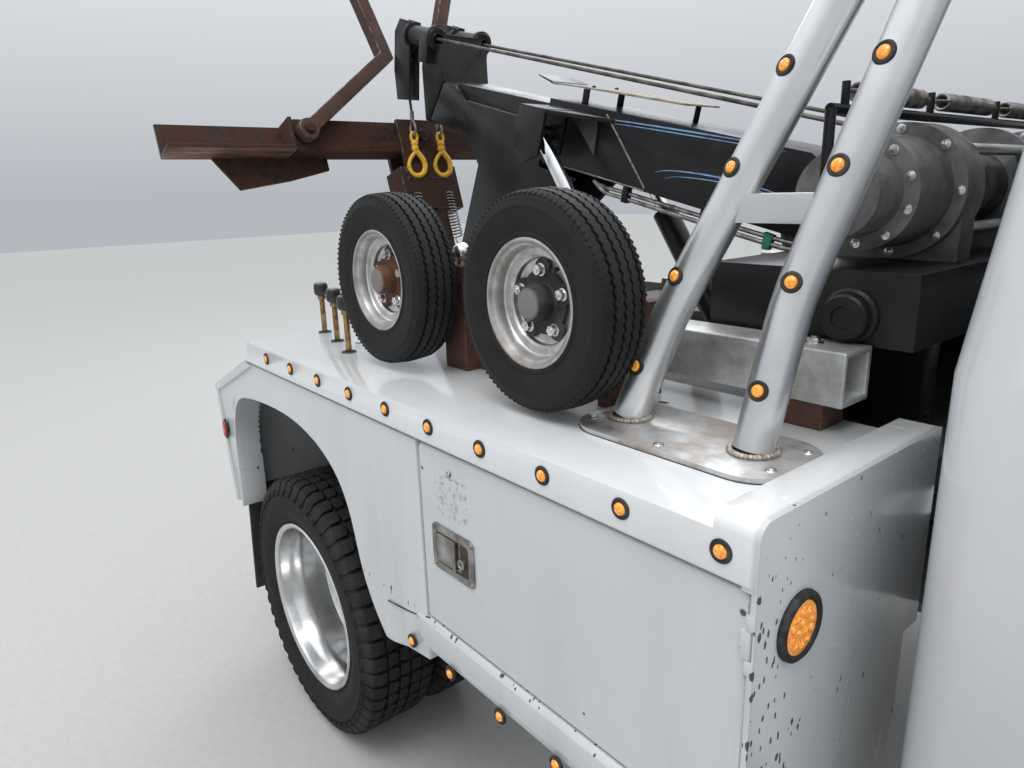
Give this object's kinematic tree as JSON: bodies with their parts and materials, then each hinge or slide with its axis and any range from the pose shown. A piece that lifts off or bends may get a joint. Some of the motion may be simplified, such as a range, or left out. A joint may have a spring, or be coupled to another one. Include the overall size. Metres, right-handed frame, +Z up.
{
  "type": "tow truck",
  "caption": "Twin-line wrecker with a lifting, extending boom, a folding wheel lift with claws, twin rear wheels, tool boxes and an enclosed cab.",
  "frame": {"origin": "on the ground, under the middle of the truck's overall box", "axes": "+X points to the front of the truck, +Y to the driver's left, +Z up"},
  "size_m": [5.9882, 2.524, 2.685],
  "materials": {
    "tyre": "matte",
    "polished_aluminium": "polished",
    "chassis_steel": "satin",
    "cast_iron": "matte",
    "tank_metal": "satin",
    "white_paint": "gloss",
    "black_plastic": "matte",
    "seat_fabric": "woven",
    "clear_glass": "clear",
    "bright_chrome": "polished",
    "black_paint": "satin",
    "worn_steel": "rusty",
    "dolly_wheel": "matte"
  },
  "bodies": {
    "chassis": {"frame_rails": "chassis_steel", "axles": "chassis_steel", "leaf_springs": "chassis_steel", "engine": "cast_iron", "fuel_tank": "tank_metal", "cab_shell": "white_paint", "cab_glass": "clear_glass", "bench_seat": "seat_fabric", "dashboard": "black_plastic", "front_fenders": "white_paint", "grille": "black_plastic", "headlamps": "clear_glass", "front_bumper": "bright_chrome", "side_steps": "chassis_steel", "body_side_left": "white_paint", "body_side_right": "white_paint", "mud_flaps": "black_plastic", "deck": "black_paint", "turret": "black_paint", "winch_gearboxes": "cast_iron", "pylon": "white_paint", "light_bar": "white_paint", "dolly_frames": "worn_steel", "dolly_bars": "polished_aluminium", "control_levers": "black_plastic"},
    "rear_wheels_left": {"rear_tyres_left": "tyre", "rear_rims_left": "polished_aluminium"},
    "rear_wheels_right": {"rear_tyres_right": "tyre", "rear_rims_right": "polished_aluminium"},
    "front_wheel_left": {"front_tyre_left": "tyre", "front_rim_left": "polished_aluminium"},
    "front_wheel_right": {"front_tyre_right": "tyre", "front_rim_right": "polished_aluminium"},
    "knuckle_left": {"steering_knuckle_left": "chassis_steel"},
    "knuckle_right": {"steering_knuckle_right": "chassis_steel"},
    "cab_door_left": {"cab_door_left": "white_paint", "door_glass_left": "clear_glass"},
    "cab_door_right": {"cab_door_right": "white_paint", "door_glass_right": "clear_glass"},
    "hood": {"hood": "white_paint"},
    "tool_door_left": {"tool_door_left": "polished_aluminium"},
    "tool_door_right": {"tool_door_right": "polished_aluminium"},
    "outer_boom": {"outer_boom": "black_paint"},
    "inner_boom": {"inner_boom": "black_paint", "boom_leg": "black_paint"},
    "stinger": {"stinger": "black_paint"},
    "crossbar": {"crossbar": "black_paint"},
    "claw_left": {"claw_left": "black_paint"},
    "claw_right": {"claw_right": "black_paint"},
    "lift_barrel_left": {"lift_barrel_left": "black_paint"},
    "lift_barrel_right": {"lift_barrel_right": "black_paint"},
    "lift_rod_left": {"lift_rod_left": "bright_chrome"},
    "lift_rod_right": {"lift_rod_right": "bright_chrome"},
    "winch_drum_left": {"winch_drum_left": "cast_iron"},
    "winch_drum_right": {"winch_drum_right": "cast_iron"},
    "dolly_wheel_left_rear": {"dolly_wheel_left_rear": "dolly_wheel"},
    "dolly_wheel_left_front": {"dolly_wheel_left_front": "dolly_wheel"},
    "dolly_wheel_right_rear": {"dolly_wheel_right_rear": "dolly_wheel"},
    "dolly_wheel_right_front": {"dolly_wheel_right_front": "dolly_wheel"}
  },
  "joints": [
    {"name": "rear_left_spin", "type": "hinge", "parent": "chassis", "child": "rear_wheels_left", "pos_m": [-1.666, 0.9505, 0.4], "axis": [0, 1, 0], "continuous": true},
    {"name": "rear_right_spin", "type": "hinge", "parent": "chassis", "child": "rear_wheels_right", "pos_m": [-1.666, -0.9505, 0.4], "axis": [0, 1, 0], "continuous": true},
    {"name": "steer_left", "type": "hinge", "parent": "chassis", "child": "knuckle_left", "pos_m": [2.014, 0.775, 0.45], "axis": [0, 0, 1], "range_deg": [-30, 30]},
    {"name": "steer_right", "type": "hinge", "parent": "chassis", "child": "knuckle_right", "pos_m": [2.014, -0.775, 0.45], "axis": [0, 0, 1], "range_deg": [-30, 30]},
    {"name": "front_left_spin", "type": "hinge", "parent": "knuckle_left", "child": "front_wheel_left", "pos_m": [2.014, 0.95, 0.4], "axis": [0, 1, 0], "continuous": true},
    {"name": "front_right_spin", "type": "hinge", "parent": "knuckle_right", "child": "front_wheel_right", "pos_m": [2.014, -0.95, 0.4], "axis": [0, 1, 0], "continuous": true},
    {"name": "cab_door_left_swing", "type": "hinge", "parent": "chassis", "child": "cab_door_left", "pos_m": [1.317, 1.004, 1.06], "axis": [0, 0, -1], "range_deg": [0, 65]},
    {"name": "cab_door_right_swing", "type": "hinge", "parent": "chassis", "child": "cab_door_right", "pos_m": [1.317, -1.004, 1.06], "axis": [0, 0, 1], "range_deg": [0, 65]},
    {"name": "hood_tilt", "type": "hinge", "parent": "chassis", "child": "hood", "pos_m": [1.553, 0, 1.392], "axis": [0, -1, 0], "range_deg": [0, 55]},
    {"name": "tool_door_left_swing", "type": "hinge", "parent": "chassis", "child": "tool_door_left", "pos_m": [-0.176, 1.1945, 0.93], "axis": [0, 0, -1], "range_deg": [0, 100]},
    {"name": "tool_door_right_swing", "type": "hinge", "parent": "chassis", "child": "tool_door_right", "pos_m": [-0.176, -1.1945, 0.93], "axis": [0, 0, 1], "range_deg": [0, 100]},
    {"name": "boom_lift", "type": "hinge", "parent": "chassis", "child": "outer_boom", "pos_m": [-0.586, 0, 1.47], "axis": [0, 1, 0], "range_deg": [-18, 22]},
    {"name": "boom_extend", "type": "slide", "parent": "outer_boom", "child": "inner_boom", "axis": [-0.9724, 0, 0.2334], "range_m": [0, 0.6]},
    {"name": "wheel_lift_fold", "type": "hinge", "parent": "inner_boom", "child": "stinger", "pos_m": [-2.506, 0, 0.98], "axis": [0, -1, 0], "range_deg": [0, 80]},
    {"name": "crossbar_swivel", "type": "hinge", "parent": "stinger", "child": "crossbar", "pos_m": [-2.78412, 0, 1.83595], "axis": [0.9511, 0, 0.309], "range_deg": [-20, 20]},
    {"name": "claw_right_swing", "type": "hinge", "parent": "crossbar", "child": "claw_right", "pos_m": [-2.70387, -0.56, 1.86728], "axis": [0.9511, 0, 0.309], "range_deg": [0, 52]},
    {"name": "claw_left_swing", "type": "hinge", "parent": "crossbar", "child": "claw_left", "pos_m": [-2.70387, 0.56, 1.86728], "axis": [-0.9511, 0, -0.309], "range_deg": [0, 42]},
    {"name": "lift_barrel_left_swing", "type": "hinge", "parent": "chassis", "child": "lift_barrel_left", "pos_m": [-1.106, 0.215, 0.985], "axis": [0, 1, 0], "range_deg": [-16, 20]},
    {"name": "lift_rod_left_slide", "type": "slide", "parent": "lift_barrel_left", "child": "lift_rod_left", "axis": [-0.5621, 0, 0.8271], "range_m": [-0.23, 0.28]},
    {"name": "lift_barrel_right_swing", "type": "hinge", "parent": "chassis", "child": "lift_barrel_right", "pos_m": [-1.106, -0.215, 0.985], "axis": [0, 1, 0], "range_deg": [-16, 20]},
    {"name": "lift_rod_right_slide", "type": "slide", "parent": "lift_barrel_right", "child": "lift_rod_right", "axis": [-0.5621, 0, 0.8271], "range_m": [-0.23, 0.28]},
    {"name": "winch_drum_right_turn", "type": "hinge", "parent": "chassis", "child": "winch_drum_right", "pos_m": [-0.366, -0.2625, 1.585], "axis": [0, 1, 0], "continuous": true},
    {"name": "winch_drum_left_turn", "type": "hinge", "parent": "chassis", "child": "winch_drum_left", "pos_m": [-0.366, 0.3825, 1.585], "axis": [0, 1, 0], "continuous": true},
    {"name": "dolly_left_rear_spin", "type": "hinge", "parent": "chassis", "child": "dolly_wheel_left_rear", "pos_m": [-1.264, 1.03, 1.412], "axis": [0, 1, 0], "continuous": true},
    {"name": "dolly_left_front_spin", "type": "hinge", "parent": "chassis", "child": "dolly_wheel_left_front", "pos_m": [-0.721, 1.03, 1.412], "axis": [0, 1, 0], "continuous": true},
    {"name": "dolly_right_rear_spin", "type": "hinge", "parent": "chassis", "child": "dolly_wheel_right_rear", "pos_m": [-1.264, -1.03, 1.412], "axis": [0, 1, 0], "continuous": true},
    {"name": "dolly_right_front_spin", "type": "hinge", "parent": "chassis", "child": "dolly_wheel_right_front", "pos_m": [-0.721, -1.03, 1.412], "axis": [0, 1, 0], "continuous": true}
  ],
  "couplings": [
    {"joint": "steer_right", "follows": "steer_left", "ratio": 1},
    {"joint": "lift_barrel_left_swing", "follows": "boom_lift", "ratio": 0.8642},
    {"joint": "lift_rod_left_slide", "follows": "boom_lift", "m_per_rad": 0.7093},
    {"joint": "lift_barrel_right_swing", "follows": "boom_lift", "ratio": 0.8642},
    {"joint": "lift_rod_right_slide", "follows": "boom_lift", "m_per_rad": 0.7093}
  ]
}
